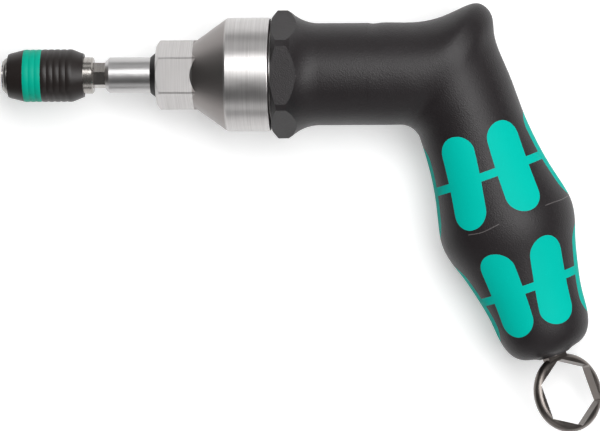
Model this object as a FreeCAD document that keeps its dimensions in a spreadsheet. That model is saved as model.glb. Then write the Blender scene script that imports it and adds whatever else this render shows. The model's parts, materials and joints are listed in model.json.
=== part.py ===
# Pistol-grip torque screwdriver with a quick-release bit chuck, in millimetres.
# It lies on its side: X runs from the chuck to the handle along the shaft, Y up the grip and
# Z up from the table. The origin is on the flange's resting flat, below the shaft's axis.
import FreeCAD, Part
import math
import os
import re

import Sketcher

Vector = FreeCAD.Vector
doc = FreeCAD.newDocument("TorqueScrewdriver")
sheet = doc.addObject("Spreadsheet::Sheet", "Sizes")

sizes = {
    # Handle barrel and its hexagonal flange
    "flange_flats": 31.75, "flange_corner_radius": 17.8, "flange_front": 2.7,
    "flange_face_radius": 15.9, "flange_chamfer": 1.6, "flange_back": 1.7,
    "shoulder_length": 1.1, "shoulder_drop": 0.7, "barrel_fillet": 11.2,
    "barrel_radius": 14.2, "barrel_wall": 1.6, "barrel_length": 26.7, "barrel_bore_length": 22.7,
    # Elbow, swept round the throat of the grip, and the straight grip below it
    "loft_lead": 3.0, "throat_x": 32.9, "throat_drop": 19.8, "throat_radius": 5.65, "grip_lean": 19.5,
    "skin_depth": 1.5,
    # Soft inlays
    "inlay_lean": -5.5, "inlay_width": 9.7, "inlay_link": 2.3, "inlay_reach": 25.0,
    "upper_inlay_place": 15.5, "upper_inlay_length": 26.0,
    "lower_inlay_place": 48.7, "lower_inlay_length": 24.6,
    # Ring key and its swivel in the butt
    "key_flats": 17.2, "key_radius": 11.0, "key_width": 3.5, "key_face": 1.5, "key_turn": 55.0,
    "key_gap": 0.25, "key_bore_lip": 0.5, "key_neck_width": 6.2, "key_neck_thickness": 3.0, "key_neck_sink": 1.6,
    "stem_radius": 2.4, "stem_clearance": 0.06, "stem_tip_length": 0.6, "socket_radius": 3.6,
    "socket_length": 11.5, "clip_groove_depth": 0.5, "clip_thickness": 0.8, "clip_radius": 3.3,
    "clip_play": 0.1, "clip_opening": 2.6, "socket_well": 3.0,
    # Nose housing
    "nose_gap": 0.5, "nose_length": 31.7, "nose_flats": 17.0, "nose_corner_radius": 9.65,
    "nose_face_radius": 8.3, "nose_chamfer": 1.0, "band_radius": 15.8, "band_length": 11.9,
    "band_edge": 0.4, "cone_rise": 0.718, "cone_root_sink": 0.3, "front_bore_length": 13.9,
    "bush_wall": 0.6, "spigot_wall": 2.0, "spigot_length": 15.2, "ring_groove_width": 1.2,
    "ring_groove_depth": 0.7, "ring_groove_end": 0.6,
    "nose_bush_wall": 1.0, "seal_neck": 1.5, "seal_front_radius": 5.1, "seal_back_radius": 6.5,
    "seal_length": 1.7, "running_clearance": 0.05, "rotor_clearance": 0.3,
    "barrel_bush_length": 12.9, "ring_opening": 3.0, "ring_play": 0.1,
    # Torque clutch
    "washer_thickness": 1.2, "clutch_flange_thickness": 3.5, "clutch_gap": 1.2,
    "ball_radius": 1.6, "disc_rim": 0.8, "ball_clearance": 0.05, "race_clearance": 0.1,
    "detent_depth": 0.4, "cage_thickness": 0.8, "cage_margin": 0.4,
    "disc_thickness": 3.0, "disc_clearance": 0.15, "drive_tube_wall": 1.1,
    "drive_tube_lead": 0.9, "drive_flange_length": 3.0, "drive_slot_width": 3.2,
    "drive_slot_length": 25.5, "lug_clearance": 0.1, "nut_thread_clearance": 0.08,
    "spring_space": 14.1, "spring_offset": 0.3, "spring_wire": 0.9, "spring_turns": 4.0,
    "spring_gap": 0.05, "nut_length": 4.0, "tail_margin": 0.6, "tail_clearance": 0.2,
    "tail_end": 15.5, "tail_bush_start": 11.5, "tail_bush_length": 4.0,
    # Output shaft
    "shaft_radius": 5.0, "shaft_front": 49.2, "shaft_tip_radius": 3.9, "shaft_tip_length": 1.1,
    "socket_flats": 6.42, "shaft_socket_depth": 11.0, "hex_flats": 6.35, "output_turn": 14.0,
    # Quick-release chuck
    "core_front": 78.0, "core_tip_radius": 4.2, "core_tip_length": 1.6, "core_radius": 4.9,
    "core_land_length": 9.5, "core_shoulder_radius": 5.75, "core_shoulder_length": 1.0,
    "core_waist_radius": 4.6, "core_waist_length": 5.6, "collar_radius": 5.1, "collar_back": 52.55,
    "core_hex_length": 13.5, "core_edge": 0.3, "bit_socket_depth": 17.0, "magnet_radius": 2.8,
    "magnet_length": 3.0, "magnet_clearance": 0.02,
    "front_clip_radius": 5.0, "front_clip_start": 0.4, "front_clip_length": 1.0,
    "lock_place": 8.0, "lock_ball_radius": 1.1, "lock_ball_reach": 0.35, "lock_hole_clearance": 0.05,
    "release_travel": 2.5, "lock_travel": 0.35,
    "carrier_front": 73.6, "carrier_back": 57.3, "carrier_radius": 6.3, "carrier_wall": 0.4,
    "carrier_land_clearance": 0.25, "carrier_step_gap": 0.1, "stop_ring_length": 1.2,
    "stop_ring_clearance": 0.1, "chuck_wire": 0.3, "chuck_spring_radius": 5.5,
    "chuck_spring_turns": 4.0,
    "sleeve_front": 76.4, "sleeve_back": 55.3, "sleeve_front_radius": 6.0, "sleeve_nose_radius": 6.25,
    "sleeve_nose_length": 0.6, "sleeve_cone_length": 3.7, "sleeve_radius": 7.2,
    "sleeve_back_radius": 6.05, "sleeve_back_length": 2.9, "sleeve_clearance": 0.06,
    "sleeve_lip_radius": 5.35, "sleeve_rib_height": 0.15,
    "band_start": 72.0, "band_width": 5.0, "band_depth": 0.35, "band_rib_height": 0.13,
}

# Elbow sections: angle round the throat, half depth in the plane of the grip, half width.
elbow = [
    (90, 14.2, 14.2), (80, 14.6, 14.2), (70, 16.5, 14.1), (65, 18.4, 14.0), (61, 19.6, 13.9),
    (58, 19.65, 13.8), (55, 19.2, 13.7), (50, 17.4, 13.6), (43, 16.0, 13.5), (33, 15.15, 13.4),
]
# Grip sections: distance down the grip's axis, half depth, half width.
grip = [
    (0, 14.7, 13.3), (8, 15.1, 13.4), (18.5, 16.65, 14.3), (25.5, 18.3, 15.4), (30, 19.0, 15.87),
    (34, 18.6, 15.6), (40, 16.75, 14.2), (47, 14.9, 12.8), (55, 13.4, 11.7), (62, 12.6, 11.1),
    (65.5, 11.2, 9.9), (68, 8.2, 7.3), (69.3, 4.5, 4.4),
]
for number, (angle, depth, width) in enumerate(elbow):
    sizes[f"elbow_angle_{number}"] = angle
    sizes[f"elbow_depth_{number}"] = depth
    sizes[f"elbow_width_{number}"] = width
for number, (along, depth, width) in enumerate(grip):
    sizes[f"grip_along_{number}"] = along
    sizes[f"grip_depth_{number}"] = depth
    sizes[f"grip_width_{number}"] = width

# Places worked out from the sizes, most of them along the shaft's axis.
places = {
    "axis_height": "flange_flats / 2",
    "barrel_front": "-flange_front",
    "barrel_end": "barrel_front + barrel_length",
    "bore_radius": "barrel_radius - barrel_wall",
    "bore_end": "barrel_front + barrel_bore_length",
    "spigot_radius": "bore_radius - bush_wall",
    "chamber_radius": "spigot_radius - spigot_wall",
    "band_rear": "barrel_front - nose_gap",
    "band_front": "band_rear - band_length",
    "nose_front": "band_rear - nose_length",
    "cone_root_radius": "nose_flats / 2 - cone_root_sink",
    "cone_root": "band_front - (band_radius - cone_root_radius) / cone_rise",
    "spigot_end": "band_rear + spigot_length",
    "ring_groove_start": "spigot_end - ring_groove_end - ring_groove_width",
    "chamber_front": "nose_front + front_bore_length",
    "journal_radius": "shaft_radius + running_clearance",
    "nose_bush_radius": "journal_radius + nose_bush_wall",
    "flange_face": "chamber_front + washer_thickness",
    "pocket_face": "flange_face + clutch_flange_thickness",
    "ball_plane": "pocket_face + clutch_gap / 2",
    "disc_face": "pocket_face + clutch_gap",
    "disc_rear": "disc_face + disc_thickness",
    "nut_front": "disc_rear + spring_space",
    "drive_tube_front": "disc_face - drive_tube_lead",
    "drive_tube_radius": "chamber_radius - rotor_clearance",
    "drive_inner": "drive_tube_radius - drive_tube_wall",
    "disc_radius": "drive_inner - disc_clearance",
    "ball_circle": "drive_inner - disc_rim - ball_radius",
    "cage_inner_radius": "tail_radius + cage_margin",
    "cage_outer_radius": "ball_circle + ball_radius + cage_margin",
    "spring_radius": "ball_circle + spring_offset",
    "tail_radius": "ball_circle - ball_radius - tail_margin",
    "tail_bore": "tail_radius + tail_clearance",
    "rotor_radius": "chamber_radius - rotor_clearance",
    "bit_bottom": "-core_front + bit_socket_depth",
    "shoulder_front": "-core_front + core_tip_length + core_land_length",
    "shoulder_rear": "shoulder_front + core_shoulder_length",
    "collar_front": "shoulder_rear + core_waist_length",
    "lock_plane": "-core_front + lock_place",
    "lock_centre": "socket_flats / 2 + lock_ball_radius - lock_ball_reach",
    "land_radius": "core_radius + carrier_land_clearance",
    "recess_radius": "land_radius + lock_travel",
    "step_place": "shoulder_front - carrier_step_gap",
    "carrier_bore": "carrier_radius - carrier_wall",
    "carrier_end": "-carrier_back",
    "stop_front": "carrier_end - stop_ring_length",
    "stop_bore": "collar_radius + stop_ring_clearance",
    "sleeve_bore": "carrier_radius + sleeve_clearance",
    "cone_end": "-sleeve_front + sleeve_nose_length + sleeve_cone_length",
    "band_end": "-band_start + band_width",
    "groove_radius": "sleeve_radius - band_depth",
    "grip_x": "throat_x + (throat_radius + grip_depth_0) * cos(grip_lean)",
    "grip_y": "-throat_drop + (throat_radius + grip_depth_0) * sin(grip_lean)",
    "butt_end": f"grip_along_{len(grip) - 1}",
    "key_centre": "butt_end + key_gap + key_radius",
    "stem_length": "socket_length + clip_play + clip_thickness + stem_tip_length",
}

for row, (name, number) in enumerate(sizes.items(), 1):
    sheet.set(f"A{row}", name)
    sheet.set(f"B{row}", str(number))
    sheet.setAlias(f"B{row}", name)
doc.recompute()


def formula(text):
    # Writes the sheet's name before each size, and each place out in full.
    def full(match):
        word = match.group()
        if word in places:
            return "(" + formula(places[word]) + ")"
        return "Sizes." + word if word in sizes else word
    return re.sub(r"[a-z][a-z0-9_]*", full, text)


def value(text):
    return float(sheet.evalExpression(formula(text)))


def bind(thing, **formulas):
    for name, text in formulas.items():
        thing.setExpression(name, formula(text))
    return thing


def stand(thing, x="0", y="0", z="axis_height", lean="90", spin="0"):
    # Local Z goes along the shaft at a lean of 90, and down the grip at the grip's own lean.
    turn = f"rotationz({lean}) * rotationx(90) * rotationz({spin})"
    thing.setExpression("Placement", formula(f"placement(vector({x}; {y}; {z}); {turn})"))
    return thing


def rod(name, radius, start, end, lean="90"):
    # A cylinder along the shaft, or down the grip from the grip's top section.
    thing = doc.addObject("Part::Cylinder", name)
    bind(thing, Radius=radius, Height=f"({end}) - ({start})")
    return along(thing, start, lean)


def along(thing, start, lean="90", spin="0"):
    if lean == "90":
        return stand(thing, start, lean=lean, spin=spin)
    x = f"grip_x + ({start}) * sin({lean})"
    y = f"grip_y - ({start}) * cos({lean})"
    return stand(thing, x, y, lean=lean, spin=spin)


def hexagon(name, flats, start, end, lean="90", spin="0"):
    thing = doc.addObject("Part::Prism", name)
    thing.Polygon = 6
    bind(thing, Circumradius=f"({flats}) / sqrt(3)", Height=f"({end}) - ({start})")
    return along(thing, start, lean, spin)


def block(name, width, height, start, end, base="0", lean="90", spin="0"):
    # A bar along the axis, as wide as given across it, from the radius base outwards.
    thing = doc.addObject("Part::Box", name)
    bind(thing, Length=height, Width=width, Height=f"({end}) - ({start})")
    turn = f"rotationz({lean}) * rotationx(90) * rotationz({spin})"
    if lean == "90":
        centre = f"vector({start}; 0; axis_height)"
    else:
        centre = (f"vector(grip_x + ({start}) * sin({lean}); grip_y - ({start}) * cos({lean});"
                  " axis_height)")
    shift = f"vector({base}; -({width}) / 2; 0)"
    thing.setExpression("Placement", formula(
        f"placement({centre}; {turn}) * placement({shift}; rotationz(0))"))
    return thing


def ball(name, radius, x, y, z):
    thing = doc.addObject("Part::Sphere", name)
    bind(thing, Radius=radius)
    return stand(thing, x, y, z)


def cut(name, base, tool):
    thing = doc.addObject("Part::Cut", name)
    thing.Base = base
    thing.Tool = tool
    return thing


def common(name, base, tool):
    thing = doc.addObject("Part::Common", name)
    thing.Base = base
    thing.Tool = tool
    return thing


def fuse(name, *pieces):
    thing = doc.addObject("Part::MultiFuse", name)
    thing.Shapes = list(pieces)
    return thing


def group(name, *pieces):
    thing = doc.addObject("Part::Compound", name)
    thing.Links = list(pieces)
    return thing


def turned(name, stations, lean="90", start="0"):
    # A turned piece: a half profile in a sketch, revolved about the sketch's own X axis.
    # A station is (x, radius), or (x, radius, arc radius) where an arc leads to it; the arc
    # swells outwards when its radius is positive and inwards when it is negative.
    body = doc.addObject("PartDesign::Body", name)
    sketch = body.newObject("Sketcher::SketchObject", name + "_profile")
    plane = [item for item in body.Origin.OriginFeatures if item.Role == "XY_Plane"][0]
    sketch.AttachmentSupport = [(plane, "")]
    sketch.MapMode = "FlatFace"
    points = [Vector(value(station[0]), value(station[1]), 0) for station in stations]
    ends = []
    for number, station in enumerate(stations):
        first, last = points[number - 1], points[number]
        if len(station) == 3:
            sketch.addGeometry(arc_between(first, last, value(station[2])))
        else:
            sketch.addGeometry(Part.LineSegment(first, last))
        here = sketch.getPoint(number, 1).distanceToPoint(first)
        there = sketch.getPoint(number, 2).distanceToPoint(first)
        ends.append((1, 2) if here < there else (2, 1))
        if len(station) == 3:
            radius = abs(value(station[2]))
            row = sketch.addConstraint(Sketcher.Constraint("Radius", number, radius))
            sketch.setExpression(f"Constraints[{row}]", formula(f"abs({station[2]})"))
    for number, station in enumerate(stations):
        following = (number + 1) % len(stations)
        sketch.addConstraint(Sketcher.Constraint(
            "Coincident", number, ends[number][1], following, ends[following][0]))
        for kind, text, axis, amount in (
                ("DistanceX", station[0], -2, points[number].x),
                ("DistanceY", station[1], -1, points[number].y)):
            if text == "0":
                sketch.addConstraint(Sketcher.Constraint(
                    "PointOnObject", number, ends[number][1], axis))
                continue
            row = sketch.addConstraint(Sketcher.Constraint(
                kind, -1, 1, number, ends[number][1], amount))
            sketch.setExpression(f"Constraints[{row}]", formula(text))
    spun = body.newObject("PartDesign::Revolution", name + "_turned")
    spun.Profile = sketch
    spun.ReferenceAxis = (sketch, ["H_Axis"])
    spun.Angle = 360
    if lean == "90":
        centre = f"vector({start}; 0; axis_height)"
    else:
        centre = (f"vector(grip_x + ({start}) * sin({lean}); grip_y - ({start}) * cos({lean});"
                  " axis_height)")
    body.setExpression("Placement", formula(f"placement({centre}; rotationz({lean} - 90))"))
    return body


def arc_between(first, last, radius):
    middle = (first + last) * 0.5
    chord = last - first
    across = Vector(-chord.y, chord.x, 0).normalize()
    if (across.y < 0) == (radius > 0):
        across = across * -1
    rise = abs(radius) - math.sqrt(radius ** 2 - (chord.Length / 2) ** 2)
    return Part.Arc(first, middle + across * rise, last)


def coil(name, radius, wire, turns, start, end):
    # A helical spring of octagonal wire, which stays inside the two ends given.
    path = doc.addObject("Part::Helix", name + "_path")
    length = f"({end}) - ({start}) - 2 * ({wire})"
    bind(path, Radius=radius, Pitch=f"({length}) / ({turns})", Height=length)
    path.SegmentLength = 1
    stand(path, f"({start}) + ({wire})")
    section = doc.addObject("Part::RegularPolygon", name + "_wire")
    section.Polygon = 8
    bind(section, Circumradius=wire)
    section.setExpression("Placement", formula(
        f"placement(vector(({start}) + ({wire}); {radius}; axis_height); rotationy(0))"))
    thing = doc.addObject("Part::Sweep", name)
    thing.Sections = [section]
    thing.Spine = (path, [])
    thing.Solid = True
    thing.Frenet = True
    return thing


def oval(depth, width):
    # An ellipse across the grip that always starts at its rear point, whichever way is longer.
    hair = 1e-5
    if depth > width:
        ellipse = Part.Ellipse(Vector(depth, 0, 0), Vector(0, 0, width), Vector())
        return Part.Wire(ellipse.toShape())
    ellipse = Part.Ellipse(Vector(0, 0, width + hair), Vector(-depth, 0, 0), Vector())
    return Part.Wire(ellipse.toShape(-math.pi / 2, 1.5 * math.pi))


def grip_form(name, inset):
    # The elbow and grip: ellipses fanned round the throat, then stacked down the grip.
    lean = math.radians(value("grip_lean"))
    rim = value("barrel_radius") - inset
    sections = [(Vector(value("barrel_end") + step, 0, 0), 90.0, rim, rim) for step in (0, value("loft_lead"))]
    for number in range(len(elbow)):
        angle = value(f"elbow_angle_{number}")
        depth = value(f"elbow_depth_{number}")
        reach = value("throat_radius") + depth
        place = Vector(value("throat_x") + reach * math.cos(math.radians(angle)),
                       -value("throat_drop") + reach * math.sin(math.radians(angle)), 0)
        sections.append((place, angle, depth - inset, value(f"elbow_width_{number}") - inset))
    for number in range(len(grip)):
        distance = value(f"grip_along_{number}")
        place = Vector(value("grip_x") + distance * math.sin(lean),
                       value("grip_y") - distance * math.cos(lean), 0)
        sections.append((place, value("grip_lean"), value(f"grip_depth_{number}") - inset,
                         value(f"grip_width_{number}") - inset))
    wires = []
    for place, angle, depth, width in sections:
        wire = oval(depth, width)
        wire.Placement = FreeCAD.Placement(
            place + Vector(0, 0, value("axis_height")), FreeCAD.Rotation(Vector(0, 0, 1), angle))
        wires.append(wire)
    thing = doc.addObject("Part::Feature", name)
    thing.Shape = Part.makeLoft(wires, True, False)
    return thing


def inlay_pocket(name, place, length):
    # Six capsules round the grip, joined by a thin ring: the shape cut into the grip's skin.
    cutters = [rod(name + "_ring", "inlay_reach", f"{place} - inlay_link / 2",
                   f"{place} + inlay_link / 2", "grip_lean")]
    for number in range(6):
        spin = f"{60 * number}"
        middle = (f"placement(vector(grip_x + {place} * sin(grip_lean);"
                  f" grip_y - {place} * cos(grip_lean); axis_height);"
                  f" rotationz(grip_lean) * rotationx(90) * rotationz({spin})"
                  f" * rotationx(inlay_lean * sin({spin})))")
        straight = f"({length} - inlay_width)"
        bar = doc.addObject("Part::Box", f"{name}_bar_{number}")
        bind(bar, Length="inlay_reach", Width="inlay_width", Height=straight)
        bar.setExpression("Placement", formula(
            f"{middle} * placement(vector(0; -inlay_width / 2; -{straight} / 2); rotationz(0))"))
        cutters.append(bar)
        for end, sign in (("top", "-"), ("foot", "")):
            tip = doc.addObject("Part::Cylinder", f"{name}_{end}_{number}")
            bind(tip, Radius="inlay_width / 2", Height="inlay_reach")
            tip.setExpression("Placement", formula(
                f"{middle} * placement(vector(0; 0; {sign}{straight} / 2); rotationy(90))"))
            cutters.append(tip)
    return fuse(name, *cutters)


parts = {}


def keep(node, thing):
    thing.Label = node
    parts[node] = thing
    return thing


# Handle: turned barrel with its flange milled to a hexagon, lofted elbow and grip.
shoulder = "flange_corner_radius - shoulder_drop"
fillet_length = f"sqrt(barrel_fillet ^ 2 - (barrel_fillet - ({shoulder}) + barrel_radius) ^ 2)"
shoulder_end = "flange_back + shoulder_length"
barrel = turned("barrel_turned", [
    ("barrel_front", "bore_radius"), ("barrel_front", "flange_face_radius"),
    ("barrel_front + flange_chamfer", "flange_corner_radius"),
    ("flange_back", "flange_corner_radius"), (shoulder_end, shoulder),
    (f"{shoulder_end} + {fillet_length}", "barrel_radius", "-barrel_fillet"),
    ("barrel_end", "barrel_radius"), ("barrel_end", "0"), ("bore_end", "0"),
    ("bore_end", "bore_radius")])
flats = hexagon("flange_hexagon", "flange_flats", "barrel_front", "barrel_end")
barrel_cut = common("barrel_with_flange", barrel, flats)
form = grip_form("grip_outer_form", 0.0)
core_form = grip_form("grip_core_form", value("skin_depth"))
upper_pocket = cut("upper_pocket", inlay_pocket(
    "upper_cutter", "upper_inlay_place", "upper_inlay_length"), core_form)
lower_pocket = cut("lower_pocket", inlay_pocket(
    "lower_cutter", "lower_inlay_place", "lower_inlay_length"), core_form)
keep("upper_inlay", common("upper_inlay_solid", form, upper_pocket))
keep("lower_inlay", common("lower_inlay_solid", form, lower_pocket))
socket_hole = fuse(
    "socket_hole",
    rod("socket_seat", "socket_radius", "butt_end - socket_length", "butt_end + 1", "grip_lean"),
    rod("socket_floor", "socket_radius", "butt_end - socket_length - socket_well",
        "butt_end - socket_length", "grip_lean"))
grip_cut = cut("grip_pocketed", form, fuse("grip_cutters", upper_pocket, lower_pocket, socket_hole))
keep("grip_body", fuse("handle", barrel_cut, grip_cut))

# Ring key, hung on a stem that turns in a steel socket in the butt.
keep("key_socket", turned("key_socket_turned", [
    ("0", "stem_radius + stem_clearance"), ("0", "socket_radius"),
    ("socket_length", "socket_radius"), ("socket_length", "stem_radius + stem_clearance")],
    "grip_lean", "butt_end - socket_length"))
groove_place = "butt_end - socket_length - clip_play - clip_thickness"
ring = turned("key_ring_turned", [
    ("-key_width / 2", "key_flats / 2 - key_bore_lip"), ("-key_width / 2", "key_radius - key_face"),
    ("key_width / 2", "key_radius - key_face", "(key_face ^ 2 + key_width ^ 2 / 4) / 2 / key_face"),
    ("key_width / 2", "key_flats / 2 - key_bore_lip")])
ring.setExpression("Placement", formula(
    "placement(vector(grip_x + key_centre * sin(grip_lean); grip_y - key_centre * cos(grip_lean);"
    " axis_height); rotationz(grip_lean) * rotationx(90) * rotationz(key_turn))"))
ring_hexagon = doc.addObject("Part::Prism", "key_hexagon")
ring_hexagon.Polygon = 6
bind(ring_hexagon, Circumradius="key_flats / sqrt(3)", Height="2 * key_width")
ring_hexagon.setExpression("Placement", formula(
    "placement(vector(grip_x + key_centre * sin(grip_lean); grip_y - key_centre * cos(grip_lean);"
    " axis_height); rotationz(grip_lean) * rotationx(90) * rotationz(key_turn) * rotationy(90)) *"
    " placement(vector(0; 0; -key_width); rotationz(0))"))
neck = block("key_neck", "key_neck_width", "key_neck_thickness", "butt_end + key_gap / 2",
             "butt_end + key_gap + key_neck_sink", "-key_neck_thickness / 2", "grip_lean",
             "key_turn")
stem = turned("key_stem_turned", [
    ("0", "0"), ("0", "stem_radius - core_edge"), ("core_edge", "stem_radius"),
    ("stem_length - socket_length - clip_play - clip_thickness", "stem_radius"),
    ("stem_length - socket_length - clip_play - clip_thickness", "stem_radius - clip_groove_depth"),
    ("stem_length - socket_length - clip_play", "stem_radius - clip_groove_depth"),
    ("stem_length - socket_length - clip_play", "stem_radius"),
    ("stem_length + key_gap", "stem_radius"), ("stem_length + key_gap", "0")],
    "grip_lean", "butt_end - stem_length")
keep("ring_key", fuse("ring_key_solid", cut("key_ring_bored", ring, ring_hexagon), neck, stem))
clip = turned("key_clip_turned", [
    ("0", "stem_radius - clip_groove_depth + stem_clearance"), ("0", "clip_radius"),
    ("clip_thickness", "clip_radius"),
    ("clip_thickness", "stem_radius - clip_groove_depth + stem_clearance")],
    "grip_lean", groove_place)
slot = block("key_clip_slot", "clip_opening", "clip_radius + 1", f"{groove_place} - 1",
             f"{groove_place} + clip_thickness + 1", "0", "grip_lean")
keep("key_clip", cut("key_clip_cut", clip, slot))

# Nose housing: turned cone and band, with a milled hexagon on its front end.
nose = turned("nose_turned", [
    ("cone_root", "nose_bush_radius"), ("cone_root", "cone_root_radius"),
    ("band_front", "band_radius"), ("band_rear - band_edge", "band_radius"),
    ("band_rear", "band_radius - band_edge", "band_edge"), ("band_rear", "spigot_radius"),
    ("ring_groove_start", "spigot_radius"),
    ("ring_groove_start", "spigot_radius - ring_groove_depth"),
    ("ring_groove_start + ring_groove_width", "spigot_radius - ring_groove_depth"),
    ("ring_groove_start + ring_groove_width", "spigot_radius"), ("spigot_end", "spigot_radius"),
    ("spigot_end", "chamber_radius"), ("chamber_front", "chamber_radius"),
    ("chamber_front", "nose_bush_radius")])
nose_tip = turned("nose_tip_turned", [
    ("nose_front", "nose_bush_radius"), ("nose_front", "nose_face_radius"),
    ("nose_front + nose_chamfer", "nose_corner_radius"), ("chamber_front", "nose_corner_radius"),
    ("chamber_front", "nose_bush_radius")])
nose_hexagon = hexagon("nose_hexagon", "nose_flats", "nose_front", "chamber_front")
keep("nose_housing", fuse("nose", nose, common("nose_tip", nose_tip, nose_hexagon)))
keep("nose_bush", turned("nose_bush_turned", [
    ("nose_front + seal_neck", "journal_radius"), ("nose_front + seal_neck", "nose_bush_radius"),
    ("chamber_front", "nose_bush_radius"), ("chamber_front", "journal_radius")]))
keep("shaft_seal", turned("shaft_seal_turned", [
    ("nose_front - seal_length", "journal_radius"), ("nose_front - seal_length", "seal_front_radius"),
    ("nose_front", "seal_back_radius"), ("nose_front", "nose_bush_radius"),
    ("nose_front + seal_neck", "nose_bush_radius"), ("nose_front + seal_neck", "journal_radius")]))
keep("thrust_washer", turned("thrust_washer_turned", [
    ("chamber_front", "journal_radius"), ("chamber_front", "rotor_radius"),
    ("flange_face", "rotor_radius"), ("flange_face", "journal_radius")]))
keep("barrel_bush", turned("barrel_bush_turned", [
    ("barrel_front", "spigot_radius + running_clearance"), ("barrel_front", "bore_radius"),
    ("barrel_front + barrel_bush_length", "bore_radius"),
    ("barrel_front + barrel_bush_length", "spigot_radius + running_clearance")]))
ring_start = "ring_groove_start + ring_play / 2"
ring_end = "ring_groove_start + ring_groove_width - ring_play / 2"
ring_inner = "spigot_radius - ring_groove_depth + running_clearance"
retainer = turned("retaining_ring_turned", [
    (ring_start, ring_inner), (ring_start, "bore_radius - ring_play"),
    (ring_end, "bore_radius - ring_play"), (ring_end, ring_inner)])
keep("retaining_ring", cut("retaining_ring_cut", retainer, block(
    "retaining_ring_slot", "ring_opening", "barrel_radius", f"{ring_start} - 1",
    f"{ring_end} + 1")))

# Torque clutch: balls in a cage between the shaft's flange and a sprung, keyed disc.
keep("drive_tube", cut("drive_tube_cut", turned("drive_tube_turned", [
    ("drive_tube_front", "drive_inner"), ("drive_tube_front", "drive_tube_radius"),
    ("bore_end - drive_flange_length", "drive_tube_radius"),
    ("bore_end - drive_flange_length", "bore_radius"), ("bore_end", "bore_radius"),
    ("bore_end", "drive_inner")]), fuse("drive_slots", *[
        block(f"drive_slot_{number}", "drive_slot_width", "bore_radius",
              "drive_tube_front - 1", "drive_tube_front + drive_slot_length", "0", "90",
              f"{90 + 120 * number}") for number in range(3)])))


def lugged(name, front, rear, bore):
    # A ring with three lugs that run in the drive tube's slots.
    width = "drive_slot_width - 2 * lug_clearance"
    disc = rod(name + "_disc", "disc_radius", front, rear)
    lugs = [block(f"{name}_lug_{number}", width, "chamber_radius", front, rear, "0", "90",
                  f"{90 + 120 * number}") for number in range(3)]
    rim = rod(name + "_rim", "chamber_radius - nut_thread_clearance", front, rear)
    blank = common(name + "_blank", fuse(name + "_star", disc, *lugs), rim)
    return cut(name + "_bored", blank, rod(name + "_bore", bore, f"{front} - 1", f"{rear} + 1"))


race = doc.addObject("Part::Torus", "disc_race")
bind(race, Radius1="ball_circle", Radius2="ball_radius + race_clearance")
along(race, "ball_plane")


def ball_ring(name, radius, x):
    around = [(f"ball_circle * cos({60 * number})", f"ball_circle * sin({60 * number})")
              for number in range(6)]
    return [ball(f"{name}_{number}", radius, x, y, f"axis_height + {z}")
            for number, (y, z) in enumerate(around)]


detents = ball_ring("disc_detent", "ball_radius", "ball_plane + detent_depth")
keep("clutch_disc", cut("clutch_disc_raced", lugged("clutch_disc_blank", "disc_face", "disc_rear",
                                                    "tail_bore"),
                        fuse("disc_track", race, *detents)))
keep("clutch_balls", group("clutch_ball_set", *ball_ring("clutch_ball", "ball_radius",
                                                         "ball_plane")))
cage = turned("ball_cage_turned", [
    ("ball_plane - cage_thickness / 2", "cage_inner_radius"),
    ("ball_plane - cage_thickness / 2", "cage_outer_radius"),
    ("ball_plane + cage_thickness / 2", "cage_outer_radius"),
    ("ball_plane + cage_thickness / 2", "cage_inner_radius")])
keep("ball_cage", cut("ball_cage_holed", cage, fuse("cage_holes", *ball_ring(
    "cage_hole", "ball_radius + ball_clearance", "ball_plane"))))
keep("clutch_spring", coil("clutch_spring_coil", "spring_radius", "spring_wire", "spring_turns",
                           "disc_rear + spring_gap", "nut_front - spring_gap"))
keep("preload_nut", lugged("preload_nut", "nut_front", "nut_front + nut_length", "tail_bore"))
keep("tail_bush", turned("tail_bush_turned", [
    ("tail_bush_start", "tail_radius + running_clearance"), ("tail_bush_start", "drive_inner"),
    ("tail_bush_start + tail_bush_length", "drive_inner"),
    ("tail_bush_start + tail_bush_length", "tail_radius + running_clearance")]))

# Output shaft: bit-holder tube in front, clutch flange and tail behind.
shaft = turned("output_shaft_turned", [
    ("-shaft_front", "0"), ("-shaft_front", "shaft_tip_radius"),
    ("-shaft_front + shaft_tip_length", "shaft_radius"), ("flange_face", "shaft_radius"),
    ("flange_face", "rotor_radius"), ("pocket_face", "rotor_radius"),
    ("pocket_face", "tail_radius"), ("tail_end - core_edge", "tail_radius"),
    ("tail_end", "tail_radius - core_edge"), ("tail_end", "0")])
shaft_socket = hexagon("shaft_socket", "socket_flats", "-shaft_front - 1",
                       "-shaft_front + shaft_socket_depth", spin="output_turn")
pockets = ball_ring("shaft_pocket", "ball_radius + ball_clearance", "ball_plane")
keep("output_shaft", cut("output_shaft_cut", shaft, fuse("shaft_cutters", shaft_socket, *pockets)))

# Quick-release chuck: core, magnet, lock balls, sliding carrier, spring and spinning sleeve.
core = turned("chuck_core_turned", [
    ("-core_front", "0"), ("-core_front", "core_tip_radius"),
    ("-core_front + core_tip_length", "core_tip_radius"),
    ("-core_front + core_tip_length", "core_radius"), ("shoulder_front", "core_radius"),
    ("shoulder_front", "core_shoulder_radius"), ("shoulder_rear", "core_shoulder_radius"),
    ("shoulder_rear", "core_waist_radius"), ("collar_front", "core_waist_radius"),
    ("collar_front", "collar_radius"), ("-collar_back - core_edge", "collar_radius"),
    ("-collar_back", "collar_radius - core_edge"), ("-collar_back", "0")])
core_hexagon = hexagon("core_hexagon", "hex_flats", "-collar_back - 1",
                       "-collar_back + core_hex_length", spin="output_turn")
bit_socket = hexagon("bit_socket", "socket_flats", "-core_front - 1", "bit_bottom",
                     spin="output_turn")
magnet_seat = rod("magnet_seat", "magnet_radius + magnet_clearance", "bit_bottom - 1",
                  "bit_bottom + magnet_length")
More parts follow.
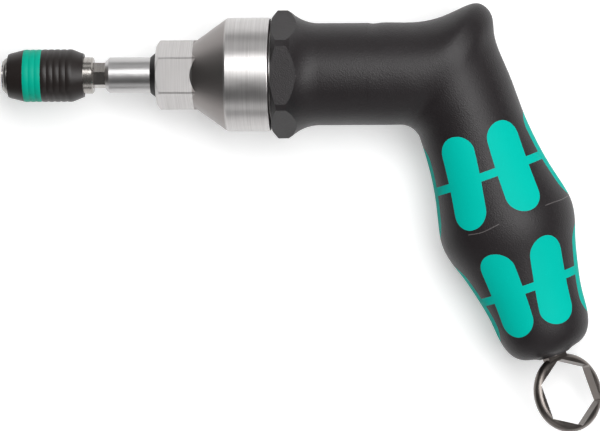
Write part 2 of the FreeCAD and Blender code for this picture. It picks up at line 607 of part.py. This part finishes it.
lock_holes = [stand(bind(doc.addObject("Part::Cylinder", f"lock_hole_{name}"),
                         Radius="lock_ball_radius + lock_hole_clearance", Height="2 * carrier_radius"),
                    "lock_plane", lean=lean) for name, lean in (("upper", "180"), ("lower", "0"))]
keep("chuck_core", cut("chuck_core_cut", fuse("chuck_core_blank", core, core_hexagon),
                       fuse("chuck_core_cutters", bit_socket, magnet_seat, *lock_holes)))
keep("bit_magnet", rod("bit_magnet_rod", "magnet_radius", "bit_bottom",
                       "bit_bottom + magnet_length"))
keep("lock_ball_upper", ball("lock_ball_a", "lock_ball_radius", "lock_plane", "lock_centre",
                             "axis_height"))
keep("lock_ball_lower", ball("lock_ball_b", "lock_ball_radius", "lock_plane", "-lock_centre",
                             "axis_height"))
clip_start = "-core_front + front_clip_start"
keep("front_clip", turned("front_clip_turned", [
    (clip_start, "core_tip_radius"), (clip_start, "core_tip_radius + core_edge"),
    (f"{clip_start} + front_clip_length", "front_clip_radius", "front_clip_length"),
    (f"{clip_start} + front_clip_length", "core_tip_radius")]))
keep("release_carrier", turned("release_carrier_turned", [
    ("-carrier_front", "land_radius"), ("-carrier_front", "carrier_radius"),
    ("carrier_end", "carrier_radius"), ("carrier_end", "carrier_bore"),
    ("step_place", "carrier_bore"), ("step_place", "recess_radius"),
    ("lock_plane + release_travel", "recess_radius"), ("lock_plane", "land_radius")]))
keep("stop_ring", turned("stop_ring_turned", [
    ("stop_front", "stop_bore"), ("stop_front", "carrier_bore"), ("carrier_end", "carrier_bore"),
    ("carrier_end", "stop_bore")]))
keep("chuck_spring", coil("chuck_spring_coil", "chuck_spring_radius", "chuck_wire",
                          "chuck_spring_turns", "shoulder_rear + spring_gap",
                          "stop_front - spring_gap"))


def ribs(start, count, pitch, radius, height):
    # Rounded ribs side by side, each leading to the next valley.
    swell = f"(({pitch}) ^ 2 / 4 + ({height}) ^ 2) / 2 / ({height})"
    return [(f"{start} + {number} * ({pitch})", radius, swell) for number in range(1, count + 1)]


sleeve = turned("chuck_sleeve_turned", [
    ("-sleeve_front", "sleeve_lip_radius"), ("-sleeve_front", "sleeve_front_radius"),
    ("-sleeve_front + sleeve_nose_length", "sleeve_nose_radius"), ("cone_end", "sleeve_radius"),
    ("-band_start", "sleeve_radius"), ("-band_start", "groove_radius"),
    ("band_end", "groove_radius"), ("band_end", "sleeve_radius")]
    + ribs("band_end", 5, "(band_start - band_width - sleeve_back - sleeve_back_length) / 5",
           "sleeve_radius", "sleeve_rib_height")
    + [("-sleeve_back", "sleeve_back_radius"), ("-sleeve_back", "sleeve_lip_radius"),
       ("carrier_end + sleeve_clearance", "sleeve_lip_radius"),
       ("carrier_end + sleeve_clearance", "sleeve_bore"),
       ("-carrier_front - sleeve_clearance", "sleeve_bore"),
       ("-carrier_front - sleeve_clearance", "sleeve_lip_radius")])
keep("chuck_sleeve", sleeve)
keep("sleeve_band", turned("sleeve_band_turned", [
    ("-band_start", "groove_radius"), ("-band_start", "sleeve_radius")]
    + ribs("-band_start", 3, "band_width / 3", "sleeve_radius", "band_rib_height")
    + [("band_end", "groove_radius")]))

doc.recompute()
for thing in doc.Objects:
    if "Invalid" in thing.State or "Error" in thing.State:
        raise RuntimeError(f"{thing.Label} failed to build")
os.makedirs("parts", exist_ok=True)
for node, thing in parts.items():
    shape = thing.Shape
    if shape.isNull() or not shape.isValid():
        raise RuntimeError(f"{node} is not a valid shape")
    shape.exportStep(f"parts/{node}.step")
    print(node, "solids", len(shape.Solids), "volume", round(shape.Volume, 1))
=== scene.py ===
# Pistol-grip torque screwdriver: finishes, fine detail, light and camera around the CAD frame.
import bpy
import json
import math
from mathutils import Matrix, Vector


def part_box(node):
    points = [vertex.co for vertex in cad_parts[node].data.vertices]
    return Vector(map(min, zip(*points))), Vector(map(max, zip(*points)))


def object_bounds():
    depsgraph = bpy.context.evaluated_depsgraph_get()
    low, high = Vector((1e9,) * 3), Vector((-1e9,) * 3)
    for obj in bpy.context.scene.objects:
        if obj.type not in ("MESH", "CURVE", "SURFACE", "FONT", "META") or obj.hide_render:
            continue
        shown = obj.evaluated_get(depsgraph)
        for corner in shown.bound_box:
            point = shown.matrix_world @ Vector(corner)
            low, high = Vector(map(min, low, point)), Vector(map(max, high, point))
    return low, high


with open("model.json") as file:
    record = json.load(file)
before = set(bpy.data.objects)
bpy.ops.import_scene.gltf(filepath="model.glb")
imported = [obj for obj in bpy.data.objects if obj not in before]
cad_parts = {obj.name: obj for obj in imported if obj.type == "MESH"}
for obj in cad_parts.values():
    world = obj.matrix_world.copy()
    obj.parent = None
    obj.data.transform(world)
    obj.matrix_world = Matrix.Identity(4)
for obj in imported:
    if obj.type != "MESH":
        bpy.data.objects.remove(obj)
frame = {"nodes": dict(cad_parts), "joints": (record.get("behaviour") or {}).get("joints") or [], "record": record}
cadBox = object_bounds()
mm = 0.001      # one millimetre in Blender's metres
print("frame loaded:", len(frame["nodes"]), "nodes")

# The nose gives the height of the shaft's axis, and the ring key's joint the grip's.
noseLow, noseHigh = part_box("nose_housing")
axisHeight = (noseLow[2] + noseHigh[2]) / 2
keyJoint = {joint["name"]: joint for joint in frame["joints"]}["key_swivel"]
gripDown = Vector(keyJoint["axis"]).normalized()
gripFoot = Vector(keyJoint["pos_m"])


def addNode(tree, kind, spot=(0, 0), **values):
    # Sets attributes of the node where it has them, and otherwise its sockets by name.
    node = tree.nodes.new(kind)
    node.location = spot
    for name, value in values.items():
        if hasattr(node, name):
            setattr(node, name, value)
        else:
            node.inputs[name.replace("_", " ")].default_value = value
    return node


def newGroup(name, inputs, outputs):
    group = bpy.data.node_groups.new(name, "ShaderNodeTree")
    for label, kind, value in inputs:
        socket = group.interface.new_socket(name=label, in_out="INPUT", socket_type=kind)
        socket.default_value = value
    for label, kind in outputs:
        group.interface.new_socket(name=label, in_out="OUTPUT", socket_type=kind)
    given = addNode(group, "NodeGroupInput", (-900, 0))
    return group, given, addNode(group, "NodeGroupOutput", (700, 0))


def maths(tree, operation, *items, clamp=False):
    node = addNode(tree, "ShaderNodeMath", operation=operation, use_clamp=clamp)
    for index, item in enumerate(items):
        if isinstance(item, (int, float)):
            node.inputs[index].default_value = item
        else:
            tree.links.new(item, node.inputs[index])
    return node.outputs[0]


def makeTurnedLines():
    # Fine rings left by turning, round the shaft's axis.
    group, given, result = newGroup(
        "turnedLines",
        [("Scale", "NodeSocketFloat", 6000.0), ("Waviness", "NodeSocketFloat", 40.0)],
        [("Height", "NodeSocketFloat"), ("Mask", "NodeSocketFloat")])
    place = addNode(group, "ShaderNodeTexCoord", (-900, 300)).outputs["Object"]
    split = addNode(group, "ShaderNodeSeparateXYZ", (-700, 300))
    group.links.new(place, split.inputs[0])
    joined = addNode(group, "ShaderNodeCombineXYZ", (-300, 300))
    for axis, stretch in enumerate(("Scale", "Waviness", "Waviness")):
        scaled = maths(group, "MULTIPLY", split.outputs[axis], given.outputs[stretch])
        group.links.new(scaled, joined.inputs[axis])
    noise = addNode(group, "ShaderNodeTexNoise", (0, 300), Scale=1.0, Detail=3.0, Roughness=0.6)
    group.links.new(joined.outputs[0], noise.inputs["Vector"])
    group.links.new(noise.outputs["Fac"], result.inputs["Height"])
    ramp = addNode(group, "ShaderNodeMapRange", (300, 100), From_Min=0.3, From_Max=0.7)
    group.links.new(noise.outputs["Fac"], ramp.inputs["Value"])
    group.links.new(ramp.outputs[0], result.inputs["Mask"])
    return group


def makeStipple():
    # A sand-blasted mould face: small round grains of uneven height.
    group, given, result = newGroup(
        "stipple",
        [("Scale", "NodeSocketFloat", 3500.0), ("Sparkle", "NodeSocketFloat", 0.6)],
        [("Height", "NodeSocketFloat"), ("Speckle", "NodeSocketFloat")])
    place = addNode(group, "ShaderNodeTexCoord", (-900, 300)).outputs["Object"]
    noise = addNode(group, "ShaderNodeTexNoise", (-300, 300), Detail=2.0, Roughness=0.7)
    cells = addNode(group, "ShaderNodeTexVoronoi", (-300, 0))
    for node in (noise, cells):
        group.links.new(place, node.inputs["Vector"])
        group.links.new(given.outputs["Scale"], node.inputs["Scale"])
    total = maths(group, "ADD", noise.outputs["Fac"], cells.outputs["Distance"])
    group.links.new(total, result.inputs["Height"])
    ramp = addNode(group, "ShaderNodeMapRange", (300, 100), From_Max=0.85)
    group.links.new(given.outputs["Sparkle"], ramp.inputs["From Min"])
    group.links.new(noise.outputs["Fac"], ramp.inputs["Value"])
    group.links.new(ramp.outputs[0], result.inputs["Speckle"])
    return group


def makeSmudges():
    # Slow, soft changes over a surface: handling marks and uneven polish.
    group, given, result = newGroup(
        "smudges",
        [("Scale", "NodeSocketFloat", 90.0), ("Low", "NodeSocketFloat", 0.3),
         ("High", "NodeSocketFloat", 0.5)],
        [("Value", "NodeSocketFloat"), ("Mask", "NodeSocketFloat")])
    place = addNode(group, "ShaderNodeTexCoord", (-900, 300)).outputs["Object"]
    noise = addNode(group, "ShaderNodeTexNoise", (-300, 300), Detail=5.0, Roughness=0.62)
    group.links.new(place, noise.inputs["Vector"])
    group.links.new(given.outputs["Scale"], noise.inputs["Scale"])
    ramp = addNode(group, "ShaderNodeMapRange", (100, 100), From_Min=0.3, From_Max=0.7)
    group.links.new(noise.outputs["Fac"], ramp.inputs["Value"])
    group.links.new(given.outputs["Low"], ramp.inputs["To Min"])
    group.links.new(given.outputs["High"], ramp.inputs["To Max"])
    group.links.new(ramp.outputs[0], result.inputs["Value"])
    group.links.new(noise.outputs["Fac"], result.inputs["Mask"])
    return group


def makeEdgeWear():
    # Bright on sharp outer edges, broken up by noise.
    group, given, result = newGroup(
        "edgeWear",
        [("Sharpness", "NodeSocketFloat", 0.6), ("Scale", "NodeSocketFloat", 900.0),
         ("Strength", "NodeSocketFloat", 1.6)],
        [("Mask", "NodeSocketFloat")])
    point = addNode(group, "ShaderNodeNewGeometry", (-900, 300)).outputs["Pointiness"]
    place = addNode(group, "ShaderNodeTexCoord", (-900, 0)).outputs["Object"]
    noise = addNode(group, "ShaderNodeTexNoise", (-500, 0), Detail=3.0)
    group.links.new(place, noise.inputs["Vector"])
    group.links.new(given.outputs["Scale"], noise.inputs["Scale"])
    ramp = addNode(group, "ShaderNodeMapRange", (-200, 300), From_Max=0.68)
    group.links.new(point, ramp.inputs["Value"])
    group.links.new(given.outputs["Sharpness"], ramp.inputs["From Min"])
    broken = maths(group, "MULTIPLY", ramp.outputs[0], noise.outputs["Fac"])
    worn = maths(group, "MULTIPLY", broken, given.outputs["Strength"], clamp=True)
    group.links.new(worn, result.inputs["Mask"])
    return group


turnedLines = makeTurnedLines()
stipple = makeStipple()
smudges = makeSmudges()
edgeWear = makeEdgeWear()
print("shader groups made")


def placeGroup(tree, group, spot, **values):
    node = addNode(tree, "ShaderNodeGroup", spot, node_tree=group)
    for name, value in values.items():
        node.inputs[name].default_value = value
    return node


def newMaterial(name):
    material = bpy.data.materials.new(name)
    material.use_nodes = True
    tree = material.node_tree
    return material, tree, tree.nodes["Principled BSDF"]


def mixColours(tree, factor, first, second, spot=(-300, 300)):
    node = addNode(tree, "ShaderNodeMix", spot, data_type="RGBA")
    tree.links.new(factor, node.inputs["Factor"])
    for item, socket in ((first, node.inputs[6]), (second, node.inputs[7])):
        if isinstance(item, (tuple, list)):
            socket.default_value = (*item[:3], 1)
        else:
            tree.links.new(item, socket)
    return node.outputs[2]


def bump(tree, shader, height, strength, distance, spot=(-300, -300)):
    node = addNode(tree, "ShaderNodeBump", spot, Strength=strength, Distance=distance)
    tree.links.new(height, node.inputs["Height"])
    tree.links.new(node.outputs[0], shader.inputs["Normal"])


# Values that every finish shares
handling = {"metalScale": 150.0, "plasticScale": 60.0, "edge": 0.6, "sparkle": 0.62,
            "markDepth": 0.00002, "grainDepth": 0.00004}


def paintConeShade(tree, shade, coneShade):
    # Painted shade: the cone between hexagon and band gets a darker colour, standing in for the dark surroundings
    # it reflects.
    place = addNode(tree, "ShaderNodeTexCoord", (-1300, 700)).outputs["Object"]
    split = addNode(tree, "ShaderNodeSeparateXYZ", (-1100, 700))
    tree.links.new(place, split.inputs[0])
    across = maths(tree, "SUBTRACT", split.outputs[2], axisHeight)
    squares = [maths(tree, "MULTIPLY", side, side) for side in (split.outputs[1], across)]
    radius = maths(tree, "SQRT", maths(tree, "ADD", *squares))
    behind = maths(tree, "GREATER_THAN", radius, coneShade["hexRadius"])
    coned = addNode(tree, "ShaderNodeMapRange", (-700, 700), From_Min=coneShade["bandFront"],
                    From_Max=coneShade["bandFront"] - coneShade["blend"])
    tree.links.new(split.outputs[0], coned.inputs["Value"])
    rear = maths(tree, "GREATER_THAN", split.outputs[0], coneShade["rootPlace"])
    cone = maths(tree, "MULTIPLY", maths(tree, "MAXIMUM", behind, rear), coned.outputs[0])
    return mixColours(tree, cone, shade, coneShade["colour"], (-300, 700))


def metal(name, look):
    # A steel or bronze finish: base colour, worn edges, smudged roughness and its tool marks.
    material, tree, shader = newMaterial(name)
    shader.inputs["Metallic"].default_value = 1.0
    polish = placeGroup(tree, smudges, (-700, 0), Scale=handling["metalScale"],
                        Low=look["roughness"][0], High=look["roughness"][1])
    tree.links.new(polish.outputs["Value"], shader.inputs["Roughness"])
    worn = placeGroup(tree, edgeWear, (-700, 300), Sharpness=look.get("edge", handling["edge"]))
    if "lines" in look:
        marks = placeGroup(tree, turnedLines, (-700, -300), Scale=look["lines"])
        streaks = marks.outputs["Mask"]
    else:
        marks = placeGroup(tree, stipple, (-700, -300), Scale=look["grain"])
        streaks = polish.outputs["Mask"]
    shade = mixColours(tree, streaks, look["dark"], look["base"], (-500, 500))
    # Painted shade on the cone, where the finish gives one.
    if "coneShade" in look:
        shade = paintConeShade(tree, shade, look["coneShade"])
    tree.links.new(mixColours(tree, worn.outputs["Mask"], shade, look["bright"]),
                   shader.inputs["Base Color"])
    bump(tree, shader, marks.outputs["Height"], look["depth"], handling["markDepth"])
    return material


def paintRidgeHighlight(tree, shade, marks):
    # Painted highlight: a lighter broken line round the widest part of the grip, standing in for light caught by a
    # thin raised mould line.
    place = addNode(tree, "ShaderNodeTexCoord", (-1500, 900)).outputs["Object"]
    down = addNode(tree, "ShaderNodeVectorMath", (-1300, 900), operation="DOT_PRODUCT")
    tree.links.new(place, down.inputs[0])
    down.inputs[1].default_value = gripDown
    wander = addNode(tree, "ShaderNodeTexNoise", (-1300, 700), Scale=marks["wanderScale"], Detail=1.0)
    breaks = addNode(tree, "ShaderNodeTexNoise", (-1300, 500), Scale=marks["breakScale"], Detail=2.0)
    for node in (wander, breaks):
        tree.links.new(place, node.inputs["Vector"])
    level = gripFoot.dot(gripDown) - marks["aboveFoot"] - marks["wander"] / 2
    shift = maths(tree, "MULTIPLY", wander.outputs["Fac"], marks["wander"])
    offset = maths(tree, "SUBTRACT", maths(tree, "SUBTRACT", down.outputs["Value"], level), shift)
    line = maths(tree, "LESS_THAN", maths(tree, "ABSOLUTE", offset), marks["halfWidth"])
    shown = maths(tree, "GREATER_THAN", breaks.outputs["Fac"], marks["gaps"])
    ridgeHighlight = maths(tree, "MULTIPLY", line, shown)
    return mixColours(tree, ridgeHighlight, shade, marks["colour"], (-400, 900))


def moulded(name, look):
    # Moulded plastic or rubber: mottled colour and a stippled skin, polished by handling.
    material, tree, shader = newMaterial(name)
    polish = placeGroup(tree, smudges, (-700, 0), Scale=handling["plasticScale"],
                        Low=look["roughness"][0], High=look["roughness"][1])
    tree.links.new(polish.outputs["Value"], shader.inputs["Roughness"])
    grain = placeGroup(tree, stipple, (-700, -300), Scale=look["grain"], Sparkle=handling["sparkle"])
    mottled = mixColours(tree, polish.outputs["Mask"], look["dark"], look["base"], (-500, 500))
    # Painted highlight of the raised line round the grip, where the finish gives one.
    if "marks" in look:
        mottled = paintRidgeHighlight(tree, mottled, look["marks"])
    tree.links.new(mixColours(tree, grain.outputs["Speckle"], mottled, look["bright"]),
                   shader.inputs["Base Color"])
    shader.inputs["Specular IOR Level"].default_value = look["specular"]
    grainDepth = look.get("grainDepth", handling["grainDepth"])
    bump(tree, shader, grain.outputs["Height"], look["depth"], grainDepth)
    return material


finishes = {
    "black_moulding": moulded("blackMoulding", {
        "base": (0.017, 0.0135, 0.015), "dark": (0.012, 0.0095, 0.0105), "bright": (0.05, 0.043, 0.046),
        "roughness": (0.42, 0.5), "grain": 2600.0, "depth": 0.5, "grainDepth": 0.00008,
        "specular": 0.38,
        # Painted highlight: the lighter colour of the line round the grip stands in for light on a thin raised
        # mould line.
        "marks": {"aboveFoot": 0.0403, "wander": 0.004, "halfWidth": 0.00012, "gaps": 0.52,
                  "wanderScale": 60.0, "breakScale": 140.0, "colour": (0.11, 0.1, 0.1)}}),
    "green_grip": moulded("greenGrip", {
        "base": (0.0, 0.56, 0.46), "dark": (0.0, 0.50, 0.41), "bright": (0.0, 0.62, 0.52),
        "roughness": (0.5, 0.6), "grain": 2500.0, "depth": 0.12, "specular": 0.05}),
    "green_band": moulded("greenBand", {
        "base": (0.0, 0.46, 0.32), "dark": (0.0, 0.4, 0.27), "bright": (0.0, 0.5, 0.36),
        "roughness": (0.4, 0.5), "grain": 2500.0, "depth": 0.08, "specular": 0.12}),
    "black_sleeve": moulded("blackSleeve", {
        "base": (0.02, 0.015, 0.014), "dark": (0.014, 0.0105, 0.0095), "bright": (0.035, 0.028, 0.027),
        "roughness": (0.36, 0.46), "grain": 2600.0, "depth": 0.12, "specular": 0.38}),
    "seal_rubber": moulded("sealRubber", {
        "base": (0.012, 0.010, 0.010), "dark": (0.008, 0.007, 0.007), "bright": (0.02, 0.02, 0.02),
        "roughness": (0.5, 0.6), "grain": 2600.0, "depth": 0.1, "specular": 0.5}),
    "satin_steel": metal("satinSteel", {
        "base": (0.58, 0.565, 0.56), "dark": (0.46, 0.445, 0.44), "bright": (0.66, 0.65, 0.64),
        "roughness": (0.33, 0.4), "lines": 4200.0, "depth": 0.4, "edge": 0.64,
        # Painted shade: the darker cone colour stands in for the dark reflection on the cone.
        "coneShade": {"colour": (0.27, 0.25, 0.243), "hexRadius": 0.00985, "rootPlace": -0.0246,
                 "bandFront": -0.0151, "blend": 0.0006}}),
    "matte_steel": metal("matteSteel", {
        "base": (0.56, 0.55, 0.55), "dark": (0.46, 0.45, 0.45), "bright": (0.68, 0.68, 0.68),
        "roughness": (0.3, 0.38), "grain": 5000.0, "depth": 0.5}),
    "bright_steel": metal("brightSteel", {
        "base": (0.46, 0.44, 0.42), "dark": (0.3, 0.28, 0.26), "bright": (0.7, 0.69, 0.67),
        "roughness": (0.22, 0.3), "lines": 4500.0, "depth": 0.3}),
    "dark_steel": metal("darkSteel", {
        "base": (0.22, 0.195, 0.18), "dark": (0.15, 0.135, 0.125), "bright": (0.4, 0.38, 0.36),
        "roughness": (0.30, 0.42), "grain": 3000.0, "depth": 0.4}),
    "spring_steel": metal("springSteel", {
        "base": (0.35, 0.34, 0.33), "dark": (0.25, 0.24, 0.23), "bright": (0.6, 0.6, 0.6),
        "roughness": (0.25, 0.35), "grain": 4000.0, "depth": 0.3}),
    "ground_steel": metal("groundSteel", {
        "base": (0.5, 0.5, 0.5), "dark": (0.42, 0.42, 0.42), "bright": (0.7, 0.7, 0.7),
        "roughness": (0.25, 0.35), "lines": 8000.0, "depth": 0.3}),
    "ball_steel": metal("ballSteel", {
        "base": (0.7, 0.7, 0.7), "dark": (0.62, 0.62, 0.62), "bright": (0.8, 0.8, 0.8),
        "roughness": (0.06, 0.12), "grain": 6000.0, "depth": 0.05}),
    "magnet_plating": metal("magnetPlating", {
        "base": (0.6, 0.59, 0.56), "dark": (0.5, 0.49, 0.47), "bright": (0.7, 0.7, 0.7),
        "roughness": (0.18, 0.28), "grain": 5000.0, "depth": 0.1}),
    "bronze": metal("bronze", {
        "base": (0.55, 0.33, 0.14), "dark": (0.42, 0.24, 0.10), "bright": (0.75, 0.5, 0.25),
        "roughness": (0.32, 0.45), "lines": 6000.0, "depth": 0.3}),
}
slotOf = {part["node"]: part["material_slot"] for part in frame["record"]["subparts"]}
for node, thing in frame["nodes"].items():
    for slot in thing.material_slots:
        slot.material = finishes[slotOf[node]]
print("finishes laid on", len(frame["nodes"]), "nodes")

stageLook = {"floorSize": 3.0, "floorColour": (0.8, 0.8, 0.8), "floorRoughness": 0.9,
             "floorGloss": 0.1, "floorDrop": 0.1 * mm, "worldColour": (0.08, 0.08, 0.08),
             "backdrop": 0.42}
bpy.ops.mesh.primitive_plane_add(size=stageLook["floorSize"], location=(0, 0, -stageLook["floorDrop"]))
floor = bpy.context.object
floor.name = "floor"
floorMaterial, floorTree, floorShader = newMaterial("palePaper")
floorShader.inputs["Base Color"].default_value = (*stageLook["floorColour"], 1)
floorShader.inputs["Roughness"].default_value = stageLook["floorRoughness"]
floorShader.inputs["Specular IOR Level"].default_value = stageLook["floorGloss"]
floorShader.inputs["Emission Color"].default_value = (1, 1, 1, 1)
rays = addNode(floorTree, "ShaderNodeLightPath", (-700, -300))
seen = maths(floorTree, "MAXIMUM", rays.outputs["Is Camera Ray"], rays.outputs["Is Glossy Ray"])
seen = maths(floorTree, "MAXIMUM", seen, rays.outputs["Is Transmission Ray"])
glow = maths(floorTree, "MULTIPLY", seen, stageLook["backdrop"])
floorTree.links.new(glow, floorShader.inputs["Emission Strength"])
floor.data.materials.append(floorMaterial)

world = bpy.data.worlds.new("studio")
bpy.context.scene.world = world
world.use_nodes = True
sky = world.node_tree.nodes["Background"]
sky.inputs["Color"].default_value = (*stageLook["worldColour"], 1)

middle = (Vector(cadBox[0]) + Vector(cadBox[1])) / 2
lamps = {
    "keyBox": {"offset": (0.19, 0.15, 0.6), "size": (0.78, 0.36), "power": 5.0},
    "lowCard": {"offset": (0.05, -0.62, 0.28), "size": (0.7, 0.25), "power": 0.5},
    "topCard": {"offset": (0.0, 0.7, 0.3), "size": (0.7, 0.2), "power": 0.4},
}
for name, lamp in lamps.items():
    data = bpy.data.lights.new(name, "AREA")
    data.shape = "RECTANGLE"
    data.size, data.size_y = lamp["size"]
    data.energy = lamp["power"]
    thing = bpy.data.objects.new(name, data)
    bpy.context.collection.objects.link(thing)
    thing.location = middle + Vector(lamp["offset"])
    thing.rotation_mode = "QUATERNION"
    thing.rotation_quaternion = (middle - thing.location).to_track_quat("-Z", "Y")

# Target and frame width in millimetres, distance and clipping in metres, roll in degrees
cameraLook = {"target": (4.7, -39.3, 15.9), "towards": (0.05, 0.05, 1.0), "distance": 1.2,
              "frameWidth": 167.1, "roll": 0.36, "clip": (0.01, 20.0)}
camera = bpy.data.objects.new("camera", bpy.data.cameras.new("camera"))
bpy.context.collection.objects.link(camera)
target = Vector(cameraLook["target"]) * mm
towards = Vector(cameraLook["towards"]).normalized()
rightward = Vector((0, 1, 0)).cross(towards).normalized()
upright = Matrix((rightward, towards.cross(rightward), towards)).transposed()
rolled = Matrix.Rotation(math.radians(-cameraLook["roll"]), 4, "Z")
stood = Matrix.Translation(target + towards * cameraLook["distance"])
camera.matrix_world = stood @ upright.to_4x4() @ rolled
frameWidth = cameraLook["frameWidth"] * mm
camera.data.lens = camera.data.sensor_width * cameraLook["distance"] / frameWidth
camera.data.clip_start, camera.data.clip_end = cameraLook["clip"]
bpy.context.scene.camera = camera
bpy.context.scene.view_settings.view_transform = "Standard"
print("stage, lamps and camera set")
